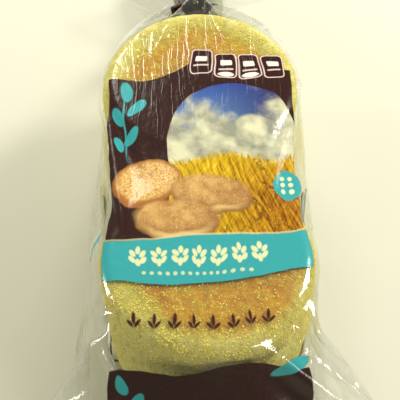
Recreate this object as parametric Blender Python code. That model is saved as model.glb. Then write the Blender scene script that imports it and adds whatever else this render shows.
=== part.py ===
"""Bag of six English muffins: two stacks of three in a clear film bag, lying on its back.

Metres, +Z up. The bag lies along Y, with its closed end at -Y and its gathered neck at +Y.
The origin is the middle of the base of the whole pack's box, on the surface that it lies on.
The film is drawn tight over the stacks, so the bag is one solid out to its film: it is lofted
from sections square to Y, whose sizes follow from the muffins, the flat bag and the neck.
"""

import math

import bmesh
import bpy
import numpy as np

MM = 0.001

# The muffins and how they are stacked.
MUFFIN_DIAMETER = 90 * MM
MUFFIN_HEIGHT = 23.5 * MM
MUFFINS_PER_STACK = 3
STACK_SPACING = 91 * MM
STACK_HEIGHT = MUFFINS_PER_STACK * MUFFIN_HEIGHT
STACK_RADIUS = MUFFIN_DIAMETER / 2
STACK_Y = STACK_SPACING / 2
RIM_Y = STACK_Y + STACK_RADIUS
FILM_EASE = 0.5 * MM

# The bag's closed end: a straight edge as wide as the flat bag, with an ear at each side.
FLAT_WIDTH = 162 * MM
END_Y = -119 * MM
END_Z = 24 * MM
END_THICKNESS = 1.6 * MM

# The gathered neck, its clip and the fan of film beyond it.
NECK_Y = 122 * MM
NECK_Z = 36 * MM
NECK_RADIUS = 4.5 * MM
TAIL_LENGTH = 52 * MM
TAIL_SPAN = 86 * MM
TAIL_START_Z = 30 * MM
TAIL_END_Z = 16 * MM
CLIP_WIDTH = 22 * MM
CLIP_THICKNESS = 1.0 * MM
CLIP_GAP = 0.4 * MM
CLIP_MOUTH = 3.4 * MM

# How finely the loft is cut, and the film's folds.
POINTS_AROUND = 72
RING_STEP = 7.5 * MM
PLEATS = 12
FLAT_CUT = 1.5 * MM
LAYER_GROOVE = 1.0 * MM

FILM_COLOUR = (0.78, 0.66, 0.40, 1.0)
CLIP_COLOUR = (0.84, 0.86, 0.84, 1.0)

TAIL_Y = NECK_Y + TAIL_LENGTH
BODY_SHIFT = -(TAIL_Y + END_Y) / 2


def closed_end(half, top, middle, floor):
    """The closed end's sections: its edge, then the roof and the floor of film that run to the near stack."""
    ear = FLAT_WIDTH / 2
    edge = END_THICKNESS / 2
    rim = -RIM_Y + 0.0025
    run = rim - END_Y
    rows = [
        (END_Y, ear - 0.0005, END_Z - edge, END_Z, END_Z + edge, 6.0, 0),
        (END_Y + 0.003, ear - 0.001, END_Z - 0.005, END_Z, END_Z + 0.0045, 1.7, 0),
    ]
    for share, drop, fullness in ((0.24, 0.72, 1.6), (0.38, 0.94, 2.0), (0.55, 1.0, 2.6), (0.78, 1.0, 3.0)):
        level = END_Z + (middle - END_Z) * share
        low = END_Z + (floor - END_Z) * drop
        high = END_Z + (top - END_Z) * share
        rows.append((END_Y + run * share, ear + (half + 0.016 - ear) * share, low, level, high, fullness, 0))
    rows.append((rim, half + 0.015, floor, middle, top - 0.001, 3.2, 0))
    return rows


def stacks(half, top, middle, floor):
    """The sections over the near stack, the waist and the far stack, and the round front of the far one."""
    return [
        (-STACK_Y - 0.034, half + 0.0105, floor, middle - 0.006, top, 3.8, 0),
        (-STACK_Y - 0.015, half + 0.0080, floor, middle - 0.012, top, 4.6, 0),
        (-STACK_Y, half + 0.0065, floor, middle - 0.012, top, 4.8, 0),
        (-STACK_Y + 0.016, half + 0.0055, floor, middle - 0.012, top, 4.8, 0),
        (0.0, half + 0.0045, floor, middle - 0.012, top - 0.0010, 4.8, 0),
        (STACK_Y - 0.016, half + 0.0035, floor, middle - 0.010, top, 4.8, 0),
        (STACK_Y, half + 0.0030, floor, middle - 0.006, top, 5.0, 0),
        (STACK_Y + 0.014, half + 0.0020, floor, middle, top, 4.4, 0),
        (STACK_Y + 0.025, half - 0.0005, floor, middle, top, 3.6, 0.0003),
        (STACK_Y + 0.035, half - 0.0040, floor, middle, top, 2.9, 0.0008),
        (RIM_Y - 0.0005, half - 0.0085, 0.0, middle, top - 0.001, 2.6, 0.0014),
    ]


def neck_and_tail(half):
    """The film draws in to the neck, and beyond it fans out and droops."""
    neck = NECK_RADIUS
    fan = TAIL_SPAN / 2
    rows = [
        (RIM_Y + 0.009, half - 0.0150, 0.0005, NECK_Z, 0.0670, 2.4, 0.0018),
        (RIM_Y + 0.019, half - 0.0225, 0.0030, NECK_Z, 0.0590, 2.2, 0.0019),
        (NECK_Y - 0.005, 0.0130, NECK_Z - 0.0180, NECK_Z, NECK_Z + 0.0135, 1.9, 0.0014),
        (NECK_Y - 0.0015, neck + 0.0004, NECK_Z - neck, NECK_Z, NECK_Z + neck, 2.0, 0.0003),
        (NECK_Y + 0.0015, neck + 0.0004, NECK_Z - neck, NECK_Z, NECK_Z + neck, 2.0, 0.0003),
        (NECK_Y + 0.005, neck + 0.0035, NECK_Z - neck - 0.001, NECK_Z, NECK_Z + neck, 2.0, 0.0006),
    ]
    for share, spread, depth, pleat in (
        (0.17, 0.42, 0.0105, 0.0020),
        (0.25, 0.56, 0.0115, 0.0026),
        (0.38, 0.80, 0.0115, 0.0028),
        (0.50, 0.98, 0.0115, 0.0030),
        (0.63, 1.00, 0.0120, 0.0030),
        (0.75, 0.90, 0.0115, 0.0030),
        (0.88, 0.66, 0.0100, 0.0028),
        (1.00, 0.44, 0.0080, 0.0024),
    ):
        centre = TAIL_START_Z + (TAIL_END_Z - TAIL_START_Z) * share
        rows.append((NECK_Y + TAIL_LENGTH * share, fan * spread, centre - depth, centre, centre + depth, 2.0, pleat))
    return rows


def stations():
    """Rows of y, half width, bottom, widest level, top, squareness and pleat depth, along the bag."""
    half = STACK_RADIUS + FILM_EASE
    top = STACK_HEIGHT + FILM_EASE
    middle = STACK_HEIGHT / 2
    floor = -FLAT_CUT
    rows = closed_end(half, top, middle, floor) + stacks(half, top, middle, floor) + neck_and_tail(half)
    return np.array(rows, float)


def smooth_between(x, xs, values):
    """Cubic through the stations' values, with each slope held to its neighbours so it never overshoots."""
    steps = np.diff(xs)
    rises = np.diff(values) / steps
    slopes = np.zeros(len(xs))
    for i in range(1, len(xs) - 1):
        if rises[i - 1] * rises[i] > 0:
            slopes[i] = 2 / (1 / rises[i - 1] + 1 / rises[i])
    slopes[0] = rises[0]
    slopes[-1] = rises[-1]
    i = min(max(np.searchsorted(xs, x) - 1, 0), len(steps) - 1)
    t = (x - xs[i]) / steps[i]
    near = (1 + 2 * t) * (1 - t) ** 2 * values[i] + t * (1 - t) ** 2 * steps[i] * slopes[i]
    far = t * t * (3 - 2 * t) * values[i + 1] + t * t * (t - 1) * steps[i] * slopes[i + 1]
    return near + far


def ring_places(ys):
    """The stations' places, with more between them where they lie further apart than a ring's step."""
    places = [ys[0]]
    for low, high in zip(ys[:-1], ys[1:]):
        count = max(1, math.ceil((high - low) / RING_STEP - 0.01))
        places += [low + (high - low) * (k + 1) / count for k in range(count)]
    return places


def groove(z, half_width):
    """How far the film dips between one muffin of a stack and the next, at a height."""
    share = 0.5 - 0.5 * math.cos(2 * math.pi * z / MUFFIN_HEIGHT)
    inside = MUFFIN_HEIGHT / 2 < z < STACK_HEIGHT - MUFFIN_HEIGHT / 2
    tight = max(0.0, 1 - abs(half_width - STACK_RADIUS - FILM_EASE) / 0.006)
    return LAYER_GROOVE * (1 - share) * tight if inside else 0.0


def section(y, table):
    """Points evenly spaced round the bag's section at y, which lies flat where it meets the surface."""
    ys = table[:, 0]
    wide, low, middle, high, square, pleat = (
        smooth_between(y, ys, table[:, k]) for k in range(1, 7)
    )
    dense = np.linspace(0, 2 * math.pi, 1441)
    across = np.cos(dense)
    up = np.sin(dense)
    x = wide * np.sign(across) * np.abs(across) ** (2 / square)
    reach = np.where(up > 0, high - middle, middle - low)
    z = middle + reach * np.sign(up) * np.abs(up) ** (2 / square)
    length = np.concatenate([[0], np.cumsum(np.hypot(np.diff(x), np.diff(z)))])
    evenly = np.arange(POINTS_AROUND) * length[-1] / POINTS_AROUND
    x = np.interp(evenly, length, x)
    z = np.interp(evenly, length, z)
    points = []
    for k in range(POINTS_AROUND):
        fold = pleat * math.cos(2 * math.pi * PLEATS * k / POINTS_AROUND)
        out = np.array([x[k], z[k] - middle])
        out = out * (1 + fold / max(np.hypot(*out), 1e-6))
        side = abs(out[0]) / wide
        dip = groove(z[k], wide) if side > 0.9 else 0.0
        across_at = out[0] - math.copysign(dip, out[0])
        points.append((across_at, y + BODY_SHIFT, max(out[1] + middle, 0.0)))
    return points


def loft(rings):
    """A closed mesh through the rings, with a fan of faces over each end."""
    mesh = bmesh.new()
    loops = [[mesh.verts.new(point) for point in ring] for ring in rings]
    for near, far in zip(loops[:-1], loops[1:]):
        for k in range(POINTS_AROUND):
            after = (k + 1) % POINTS_AROUND
            mesh.faces.new((near[k], far[k], far[after], near[after]))
    for loop in (loops[0], loops[-1]):
        middle = mesh.verts.new(np.mean([v.co for v in loop], axis=0))
        for k in range(POINTS_AROUND):
            mesh.faces.new((loop[k], loop[(k + 1) % POINTS_AROUND], middle))
    bmesh.ops.recalc_face_normals(mesh, faces=mesh.faces)
    bmesh.ops.triangulate(mesh, faces=mesh.faces)
    return mesh


def material(name, colour, roughness):
    """A plain plastic material."""
    made = bpy.data.materials.new(name)
    made.use_nodes = True
    shader = made.node_tree.nodes["Principled BSDF"]
    shader.inputs["Base Color"].default_value = colour
    shader.inputs["Roughness"].default_value = roughness
    shader.inputs["Metallic"].default_value = 0.0
    made.diffuse_color = colour
    return made


def collection(name):
    """A new collection in the scene."""
    made = bpy.data.collections.new(name)
    bpy.context.scene.collection.children.link(made)
    return made


def put(name, mesh, place, finish):
    """An object in a collection from a bmesh, shaded smooth between its sharp edges."""
    data = bpy.data.meshes.new(name)
    mesh.to_mesh(data)
    mesh.free()
    data.materials.append(finish)
    data.shade_smooth()
    data.set_sharp_from_angle(angle=math.radians(40))
    made = bpy.data.objects.new(name, data)
    place.objects.link(made)
    return made


def make_bag(place):
    """The film bag with the two stacks in it: seal, ears, stacks, waist, neck and tail as one solid."""
    table = stations()
    rings = [section(y, table) for y in ring_places(table[:, 0])]
    return put("bag", loft(rings), place, material("bag_film", FILM_COLOUR, 0.25))


def make_clip(place, cutters):
    """The flat plastic clip on the neck: a plate with cut corners and a keyhole that holds the neck."""
    hole_radius = NECK_RADIUS + 0.0003 + CLIP_GAP
    centre = (0.0, NECK_Y + BODY_SHIFT, NECK_Z)
    plate = bmesh.new()
    bmesh.ops.create_cube(plate, size=1.0)
    bmesh.ops.scale(plate, vec=(CLIP_WIDTH, CLIP_THICKNESS, CLIP_WIDTH), verts=plate.verts)
    upright = [e for e in plate.edges if abs(e.verts[0].co.y - e.verts[1].co.y) > CLIP_THICKNESS / 2]
    bmesh.ops.bevel(plate, geom=upright, offset=CLIP_WIDTH * 0.16, segments=4, affect="EDGES", profile=0.5)
    clip = put("closure_clip", plate, place, material("clip_plastic", CLIP_COLOUR, 0.4))
    clip.location = (centre[0] + CLIP_WIDTH * 0.16, centre[1], centre[2])

    hole = bmesh.new()
    bmesh.ops.create_cone(
        hole, cap_ends=True, segments=40, radius1=hole_radius, radius2=hole_radius, depth=CLIP_WIDTH
    )
    hole_cutter = put("clip_hole_cutter", hole, cutters, material("cutter", CLIP_COLOUR, 0.5))
    hole_cutter.rotation_euler = (math.pi / 2, 0, 0)
    hole_cutter.location = centre

    mouth = bmesh.new()
    bmesh.ops.create_cube(mouth, size=1.0)
    bmesh.ops.scale(mouth, vec=(CLIP_WIDTH, CLIP_WIDTH, CLIP_MOUTH), verts=mouth.verts)
    mouth_cutter = put("clip_mouth_cutter", mouth, cutters, bpy.data.materials["cutter"])
    mouth_cutter.location = (centre[0] - CLIP_WIDTH / 2, centre[1], centre[2])

    for cutter in (hole_cutter, mouth_cutter):
        cutter.hide_render = True
        cutter.display_type = "WIRE"
        cut = clip.modifiers.new(cutter.name, "BOOLEAN")
        cut.operation = "DIFFERENCE"
        cut.solver = "EXACT"
        cut.object = cutter
    return clip


def main():
    for old in list(bpy.data.objects):
        bpy.data.objects.remove(old)
    parts = collection("muffin_bag")
    cutters = collection("cutters")
    make_bag(parts)
    make_clip(parts, cutters)


main()
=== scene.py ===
"""Bag of six English muffins: clear printed film drawn over two stacks of three.

The film is simulated: a flat tube of film, closed at one end and gathered at a neck, is pulled
over the stacks by position-based dynamics, so its folds, ears and pleats follow from its size.
The print is worked out in the film's own flat coordinates. Lengths are in millimetres up to the
meshes, which are in metres like the frame.
"""

import math
from functools import partialmethod

import bpy
import numpy as np
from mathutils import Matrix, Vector, noise


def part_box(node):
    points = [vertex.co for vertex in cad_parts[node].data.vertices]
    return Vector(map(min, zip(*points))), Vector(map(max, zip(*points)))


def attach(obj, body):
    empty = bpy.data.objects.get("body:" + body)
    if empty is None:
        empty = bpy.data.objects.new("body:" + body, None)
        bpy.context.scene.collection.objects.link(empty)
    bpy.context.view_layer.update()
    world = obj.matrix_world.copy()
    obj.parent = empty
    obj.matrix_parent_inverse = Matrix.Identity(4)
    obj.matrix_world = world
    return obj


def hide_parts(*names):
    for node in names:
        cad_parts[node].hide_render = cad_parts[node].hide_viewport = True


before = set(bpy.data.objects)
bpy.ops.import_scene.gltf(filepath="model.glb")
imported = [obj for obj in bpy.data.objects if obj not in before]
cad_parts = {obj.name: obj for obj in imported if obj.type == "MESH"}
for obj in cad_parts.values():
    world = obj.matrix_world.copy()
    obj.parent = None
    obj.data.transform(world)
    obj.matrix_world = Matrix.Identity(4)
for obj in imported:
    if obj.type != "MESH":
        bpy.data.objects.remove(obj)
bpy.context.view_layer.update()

MM = 0.001

# The muffins and their stacks, in the bag's own frame: Y = 0 is midway between the stacks.
MUFFIN_RADIUS = 45.0
MUFFIN_HEIGHT = 23.5
MUFFINS_PER_STACK = 3
STACK_Y = 45.5
STACK_TOP = MUFFINS_PER_STACK * MUFFIN_HEIGHT
MUFFIN_EDGE = 7.0
STRAY_X = 0.7
STRAY_Y = 0.4
RADIUS_LESS = 0.012
RADIUS_MORE = 0.006

# Where each stack's faces are toasted (centre and radius) and how much pale flour its rims carry, 0 to
# 1. The near stack carries less than the far one: partly real flour, partly painted shade on the near
# end.
NEAR_TOAST = {"toast_centre": (6.5, -0.5), "toast_radius": 34.5, "flour_and_shade": 0.45}
FAR_TOAST = {"toast_centre": (1.0, -3.5), "toast_radius": 33.5, "flour_and_shade": 1.0}

# A muffin's mesh: its spokes, the rings of its edges and its side, and the steps across its faces.
SPOKES = 288
EDGE_RINGS = 12
SIDE_RINGS = 9
SHOWN_STEP = 0.85
HIDDEN_STEP = 3.0
BOTTOM_STEP = 2.5

# Cornmeal: grains on a top muffin and on one under it, their share on the sides, and their sizes.
GRAINS_SHOWN = 9000
GRAINS_HIDDEN = 1500
GRAINS_ASIDE = 0.65
GRAIN_LEAST = 0.4
GRAIN_MOST = 1.25
GRAIN_FLATNESS = 0.65

# The film: a tube that is 162 mm wide when flat, from its closed end to the neck and its open end.
FLAT_WIDTH = 162.0
BODY_LENGTH = 275.0
TAIL_LENGTH = 58.0
FILM_LENGTH = BODY_LENGTH + TAIL_LENGTH
END_Y = -119.0
END_Z = 24.0
NECK_Y = 122.0
NECK_Z = 36.0
NECK_RADIUS = 4.3
PLEATS = 17
PLEATS_START = 206
PLEAT_DEPTH = 5.0
FLOOR_GAP = 0.15

# The film is settled on three grids, each twice as fine as the last. For each: its steps, how far
# a step draws it in and lets it fall, its gap to the muffins and its stiffness against bending.
# Before the second and third grids it is nudged at random by these lengths.
FIRST_GRID = (64, 69)
GRIDS = (
    {"steps": 200, "suck": 0.004, "fall": 0.008, "gap": 1.2, "bend": 0.12},
    {"steps": 200, "suck": 0.001, "fall": 0.002, "gap": 0.9, "bend": 0.08},
    {"steps": 120, "suck": 0.0003, "fall": 0.0006, "gap": 0.75, "bend": 0.05},
)
NUDGES = (0.05, 0.015)

# Settling: passes in a step, the speed that is kept and the most that there may be, the length held
# at the neck and the softer one before it, the ears' length, the gap between the two layers there,
# and how much less the loose left side is drawn in.
PASSES = 4
SPEED_KEPT = 0.9
SPEED_LIMIT = 1.0
HELD_LENGTH = 1.5
SOFT_LENGTH = 38
EAR_LENGTH = 60
LAYER_GAP = 0.3
LOOSE_SIDE = 3.0

# The print: how far its field reaches from the front's middle, and how soft its edges are. Then the
# refraction of the film and of the ink.
PANEL_HALF = 41.0
PRINT_SOFT = 0.35
FILM_IOR = 1.5
INK_IOR = 1.4

# The stage, in metres and watts: each light's place, size and power, and whether the film mirrors it.
LIGHT_COLOUR = (1.0, 0.97, 0.88)
LIGHTS = {
    "key": ((0.76, 0.22, 0.76), 0.24, 9.3, True),
    "left": ((-0.80, 0.10, 0.38), 0.21, 3.0, True),
    "front": ((0.50, -0.62, 0.40), 0.14, 1.5, True),
    "streaks": ((-0.27, 0.74, 0.80), 0.24, 2.2, True),
    "back": ((0.05, 0.60, 0.36), 0.30, 3.6, False),
}
LIGHTS_AIM = 0.03
AIR_COLOUR = (0.92, 0.91, 0.69, 1)
AIR_STRENGTH = 0.45
FLOOR_HALF = 2.5

# The camera: its direction in degrees, its distance in metres, its lens and sensor in millimetres,
# and the point that it looks at, in metres across and in millimetres along the bag.
CAMERA_TURN = -2.1
CAMERA_RISE = 57
CAMERA_DISTANCE = 0.394
CAMERA_LENS = 85.5
CAMERA_SENSOR = 36
CAMERA_AIM_X = -0.0026
CAMERA_AIM_Y = -19.4

# Where the bag's own frame lies in the CAD's.
BAG_LOW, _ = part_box("bag")
SHIFT_Y = BAG_LOW[1] / MM - END_Y

STACK_RANDOM = np.random.default_rng(12)
GRAIN_RANDOM = np.random.default_rng(31)
FILM_RANDOM = np.random.default_rng(1)


def srgb(red, green, blue):
    """A linear colour from one as a screen shows it, 0 to 255."""
    out = []
    for value in (red, green, blue):
        value = value / 255
        out.append(value / 12.92 if value <= 0.04045 else ((value + 0.055) / 1.055) ** 2.4)
    return (*out, 1.0)


# The crust's colours: its rim and sides, where flour lies on them, and its faces from least toasted.
PALE = srgb(156, 143, 40)
CREAM = srgb(174, 163, 62)
PALE_SPOTS = srgb(166, 152, 70)
FLOURY = srgb(210, 200, 112)
FLOURY_CREAM = srgb(230, 224, 150)
GOLD = srgb(188, 152, 20)
TOASTED = srgb(184, 125, 2)
DARK_TOAST = srgb(146, 82, 2)
CORNMEAL = (srgb(206, 180, 56), srgb(222, 202, 78), srgb(236, 224, 114))

# The print's inks.
BROWN = srgb(44, 17, 16)
CYAN = srgb(50, 150, 156)
CREAM_INK = srgb(205, 210, 166)
SPRIG_INK = srgb(62, 22, 20)
BACK_INK = srgb(226, 226, 208)
RULE_INK = srgb(72, 34, 30)
WHEAT = (srgb(122, 90, 8), srgb(178, 142, 8), srgb(208, 174, 22), srgb(226, 204, 78))
RIPE_WHEAT = (srgb(80, 40, 6), srgb(136, 84, 8), srgb(174, 120, 16), srgb(204, 162, 52))
WHEAT_STOPS = (0.36, 0.46, 0.57, 0.68)


# ---- the stacks, as the film feels them

def stack_muffins():
    """Each muffin's place, size and toasting, top ones last: no two alike or quite in line."""
    muffins = []
    for level in range(MUFFINS_PER_STACK):
        for centre_y in (-STACK_Y, STACK_Y):
            muffins.append({
                "x": STACK_RANDOM.uniform(-STRAY_X, STRAY_X),
                "y": centre_y + STACK_RANDOM.uniform(-STRAY_Y, STRAY_Y),
                "z": (level + 0.5) * MUFFIN_HEIGHT,
                "radius": MUFFIN_RADIUS * (1 + STACK_RANDOM.uniform(-RADIUS_LESS, RADIUS_MORE)),
                "shown": level == MUFFINS_PER_STACK - 1,
                **(NEAR_TOAST if centre_y < 0 else FAR_TOAST),
            })
    return muffins


def push_out(film, muffins, gap):
    """Moves the film's points out of the muffins, each a disc with a rounded edge."""
    across, along, up = film
    half = MUFFIN_HEIGHT / 2
    for muffin in muffins:
        reach = muffin["radius"] + gap
        inside = (
            (np.abs(across - muffin["x"]) < reach)
            & (np.abs(along - muffin["y"]) < reach)
            & (np.abs(up - muffin["z"]) < half + gap)
        )
        at = np.nonzero(inside)
        if len(at[0]) == 0:
            continue
        dx = across[at] - muffin["x"]
        dy = along[at] - muffin["y"]
        dz = up[at] - muffin["z"]
        radial = np.maximum(np.hypot(dx, dy), 1e-6)
        over_rim = radial - (muffin["radius"] - MUFFIN_EDGE)
        over_face = np.abs(dz) - (half - MUFFIN_EDGE)
        rim = np.maximum(over_rim, 0)
        face = np.maximum(over_face, 0)
        corner = np.hypot(rim, face)
        distance = corner + np.minimum(np.maximum(over_rim, over_face), 0) - MUFFIN_EDGE
        push = np.maximum(gap - distance, 0)
        round_part = corner > 1e-6
        outward = np.where(round_part, rim / np.maximum(corner, 1e-6), over_rim > over_face)
        upward = np.where(round_part, face / np.maximum(corner, 1e-6), over_rim <= over_face)
        across[at] += push * outward * dx / radial
        along[at] += push * outward * dy / radial
        up[at] += push * upward * np.sign(dz)


# ---- the film's simulation

def smooth_between(x, xs, values):
    """Cubic through the stations' values that never overshoots them."""
    steps = np.diff(xs)
    rises = np.diff(values) / steps
    slopes = np.zeros(len(xs))
    same_way = rises[:-1] * rises[1:] > 0
    slopes[1:-1][same_way] = 2 / (1 / rises[:-1][same_way] + 1 / rises[1:][same_way])
    slopes[0] = rises[0]
    slopes[-1] = rises[-1]
    i = np.clip(np.searchsorted(xs, x) - 1, 0, len(steps) - 1)
    t = (x - xs[i]) / steps[i]
    near = (1 + 2 * t) * (1 - t) ** 2 * values[i] + t * (1 - t) ** 2 * steps[i] * slopes[i]
    far = t * t * (3 - 2 * t) * values[i + 1] + t * t * (t - 1) * steps[i] * slopes[i + 1]
    return near + far


def start_stations():
    """Rows of distance along the film, y, half width, bottom, top and squareness to start from."""
    top = STACK_TOP + 1.5
    floor = FLOOR_GAP
    neck = NECK_RADIUS
    tail = BODY_LENGTH
    return np.array([
        (0, END_Y, FLAT_WIDTH / 2 - 0.1, END_Z - 0.4, END_Z + 0.4, 2.0),
        (12, END_Y + 6, 72.0, END_Z - 10, END_Z + 12, 1.8),
        (28, END_Y + 15, 64.0, 6, 58, 1.9),
        (50, END_Y + 31, 56.0, 0.5, top - 1, 2.6),
        (92, -STACK_Y, 48.5, floor, top, 5.0),
        (137, 0, 47.5, floor, top, 6.0),
        (182, STACK_Y, 47.5, floor, top, 6.0),
        (PLEATS_START, STACK_Y + 25, 43.0, floor, top, 4.0),
        (226, STACK_Y + 43, 33.0, 2, top - 2, 2.4),
        (242, NECK_Y - 21, 22.0, 8, NECK_Z + 23, 2.1),
        (260, NECK_Y - 9, 12.5, NECK_Z - 12, NECK_Z + 12, 2.0),
        (tail - 1.5, NECK_Y - 1.2, neck, NECK_Z - neck, NECK_Z + neck, 2.0),
        (tail, NECK_Y, neck, NECK_Z - neck, NECK_Z + neck, 2.0),
        (tail + 1.5, NECK_Y + 1.2, neck, NECK_Z - neck, NECK_Z + neck, 2.0),
        (tail + 7, NECK_Y + 6, neck + 5.0, NECK_Z - 6, NECK_Z + 5, 2.0),
        (tail + 20, NECK_Y + 18, 21.0, NECK_Z - 11, NECK_Z + 3, 2.0),
        (tail + 40, NECK_Y + 36, 33.0, NECK_Z - 20, NECK_Z - 5, 2.0),
        (FILM_LENGTH, NECK_Y + 52, 39.0, NECK_Z - 30, NECK_Z - 14, 2.0),
    ], float)


def start_pleats(share):
    """The pleats' height at each share of the way round, uneven in width and in size."""
    whole = 2 * math.pi
    wave = np.zeros(len(share))
    for count, size, offset in ((2, 0.012, 0.3), (3, 0.010, 0.1), (5, 0.006, 0.7)):
        wave += size * np.sin(whole * (count * share + offset))
    uneven = 1 + 0.35 * np.sin(whole * (4 * share + 0.2)) * np.sin(whole * (share + 0.6))
    return np.cos(whole * PLEATS * (share + wave)) * uneven


def rounded(wave, square):
    """A sine or cosine bent so that the two together draw a square with round corners."""
    return np.sign(wave) * np.abs(wave) ** (2 / square)


def start_shape(columns, rows):
    """The film to start from, an array of 3 x columns x rows. Column 0 is under the bag's middle."""
    table = start_stations()
    along = np.linspace(0, FILM_LENGTH, rows)
    curves = [smooth_between(along, table[:, 0], table[:, k]) for k in range(1, 6)]
    turn = np.linspace(-math.pi / 2, 1.5 * math.pi, 1441)
    share = np.arange(columns) / columns
    pleat = start_pleats(share)
    film = np.zeros((3, columns, rows))
    for j in range(rows):
        y, wide, low, high, square = (curve[j] for curve in curves)
        x = wide * rounded(np.cos(turn), square)
        z = (low + high) / 2 + (high - low) / 2 * rounded(np.sin(turn), square)
        length = np.concatenate([[0], np.cumsum(np.hypot(np.diff(x), np.diff(z)))])
        x = np.interp(share * length[-1], length, x)
        z = np.interp(share * length[-1], length, z)
        excess = max(2 * FLAT_WIDTH / length[-1] - 1, 0)
        if along[j] > PLEATS_START and excess > 0.02:
            depth = length[-1] / PLEATS / math.pi * math.sqrt(excess) * 0.9
            near_neck = abs(along[j] - BODY_LENGTH) < 2
            depth = 0.4 if near_neck else min(depth, 0.75 * wide, PLEAT_DEPTH)
            run = np.stack([np.roll(x, -1) - np.roll(x, 1), np.roll(z, -1) - np.roll(z, 1)])
            run /= np.maximum(np.hypot(*run), 1e-6)
            x = x + depth * pleat * run[1]
            z = z - depth * pleat * run[0]
        film[0, :, j] = x
        film[1, :, j] = y
        film[2, :, j] = z
    return film.astype(np.float32)


def pull(a, b, rest, stretched, pressed):
    """Moves pairs of points towards their rest distance, harder when stretched than when pressed."""
    gap = b - a
    length = np.sqrt(np.einsum("kij,kij->ij", gap, gap))
    error = length - rest
    gap *= np.where(error > 0, 0.5 * stretched, 0.5 * pressed) * error / np.maximum(length, 1e-6)
    a += gap
    b -= gap


def pull_rows(film, apart, rest, stretched, pressed):
    """Pulls each row and the one so many beyond it, in turns that share no row."""
    for first in range(2 * apart):
        near = film[:, :, first::2 * apart]
        far = film[:, :, first + apart::2 * apart]
        pull(near[:, :, :far.shape[2]], far, rest, stretched, pressed)


def relax(film, across, along, soft, bend):
    """One pass over the film's stretch, shear and bending. soft fades the stiffness near the neck."""
    diagonal = math.hypot(across, along)
    for _ in range(2):
        pull(film[:, 0::2], film[:, 1::2], across, 1.0, 0.6 * soft)
        pull(film[:, 0::2, :-1], film[:, 1::2, 1:], diagonal, 0.5, 0.25 * soft[:-1])
        pull(film[:, 0::2, 1:], film[:, 1::2, :-1], diagonal, 0.5, 0.25 * soft[:-1])
        film[:] = np.roll(film, -1, 1)
    film[:] = np.roll(film, 2, 1)
    pull_rows(film, 1, along, 1.0, 0.6)
    for _ in range(4):
        pull(film[:, 0::4], film[:, 2::4], 2 * across, 0.0, bend * soft)
        film[:] = np.roll(film, -1, 1)
    film[:] = np.roll(film, 4, 1)
    pull_rows(film, 2, 2 * along, 0.0, bend)


def inward(film):
    """The film's unit normals, towards the muffins."""
    round_it = np.roll(film, -1, 1) - np.roll(film, 1, 1)
    along_it = np.gradient(film, axis=2)
    normal = np.cross(round_it, along_it, axis=0)
    return normal / np.maximum(np.sqrt(np.einsum("kij,kij->ij", normal, normal)), 1e-9)


def closed_line(columns):
    """Where the closed end lies, and for each column the one that it is joined to there."""
    column = np.arange(columns)
    quarter = 4 * column / columns
    share = np.where(quarter < 1, quarter, np.where(quarter < 3, 2 - quarter, quarter - 4))
    line = np.stack([
        share * FLAT_WIDTH / 2 * 0.995,
        END_Y + 2.5 * share ** 2,
        END_Z + 3 - 6 * share ** 2 + np.sin(3 * share),
    ])
    return line.astype(np.float32), (columns // 2 - column) % columns


def pull_inwards(place, columns, suck):
    """How far a step draws each point in: less near both ends, and outwards on the loose left side."""
    draw = np.clip((BODY_LENGTH - 12 - place) / 30, 0, 1) * np.clip((place - 2) / 12, 0.15, 1)
    side = np.sin(2 * math.pi * np.arange(columns) / columns)
    loose = np.clip(-side * 1.6 - 0.5, 0, 1)[:, None] * np.clip((150 - place) / 60, 0, 1)[None, :]
    return (suck * draw[None, :] * (1 - LOOSE_SIDE * loose)).astype(np.float32)


def settle(film, muffins, steps, suck, fall, gap, bend):
    """Draws the film in over the muffins and lets it settle. The rows at the neck are held."""
    columns, rows = film.shape[1:]
    across = 2 * FLAT_WIDTH / columns
    along = FILM_LENGTH / (rows - 1)
    place = np.linspace(0, FILM_LENGTH, rows)
    neck = int(round(BODY_LENGTH / along))
    neck_rows = slice(neck - int(HELD_LENGTH / along), neck + int(HELD_LENGTH / along) + 1)
    held = film[:, :, neck_rows].copy()
    beyond = np.clip((place - BODY_LENGTH) / TAIL_LENGTH, 0, 1)
    near_neck = np.clip((BODY_LENGTH - place) / SOFT_LENGTH, 0, 1)
    soft = (0.03 + 0.97 * near_neck ** 2 + 0.03 * beyond).astype(np.float32)
    fall = (fall * (1 - 0.8 * np.clip(4 * beyond, 0, 1))).astype(np.float32)
    draw = pull_inwards(place, columns, suck)
    line, partner = closed_line(columns)
    column = np.arange(columns)
    upper = ((column > columns // 4) & (column < 3 * columns // 4))[:, None]
    ears = int(EAR_LENGTH / along)
    speed = np.zeros_like(film)
    for step in range(steps):
        before = film.copy()
        if step % 2 == 0:
            normal = inward(film)
        film += SPEED_KEPT * speed
        film += normal * draw
        film[2] -= fall
        for _ in range(PASSES):
            relax(film, across, along, soft, bend)
            joined = 0.5 * (film[:, :, 0] + film[:, partner, 0])
            film[:, :, 0] = joined + 0.2 * (line - joined)
            level = film[2, :, :ears]
            between = level - level[partner]
            apart = np.where(upper & (between < LAYER_GAP), (LAYER_GAP - between) / 2, 0)
            level += apart
            level -= apart[partner]
            push_out(film, muffins, gap)
            np.maximum(film[2], FLOOR_GAP, out=film[2])
            film[:, :, neck_rows] = held
        speed = np.clip(film - before, -SPEED_LIMIT, SPEED_LIMIT)
    return film


def halfway_between(first, second, before, after):
    """The cubic's value halfway between two points, from them and the points before and after them."""
    return (9 * (first + second) - (before + after)) / 16


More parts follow.
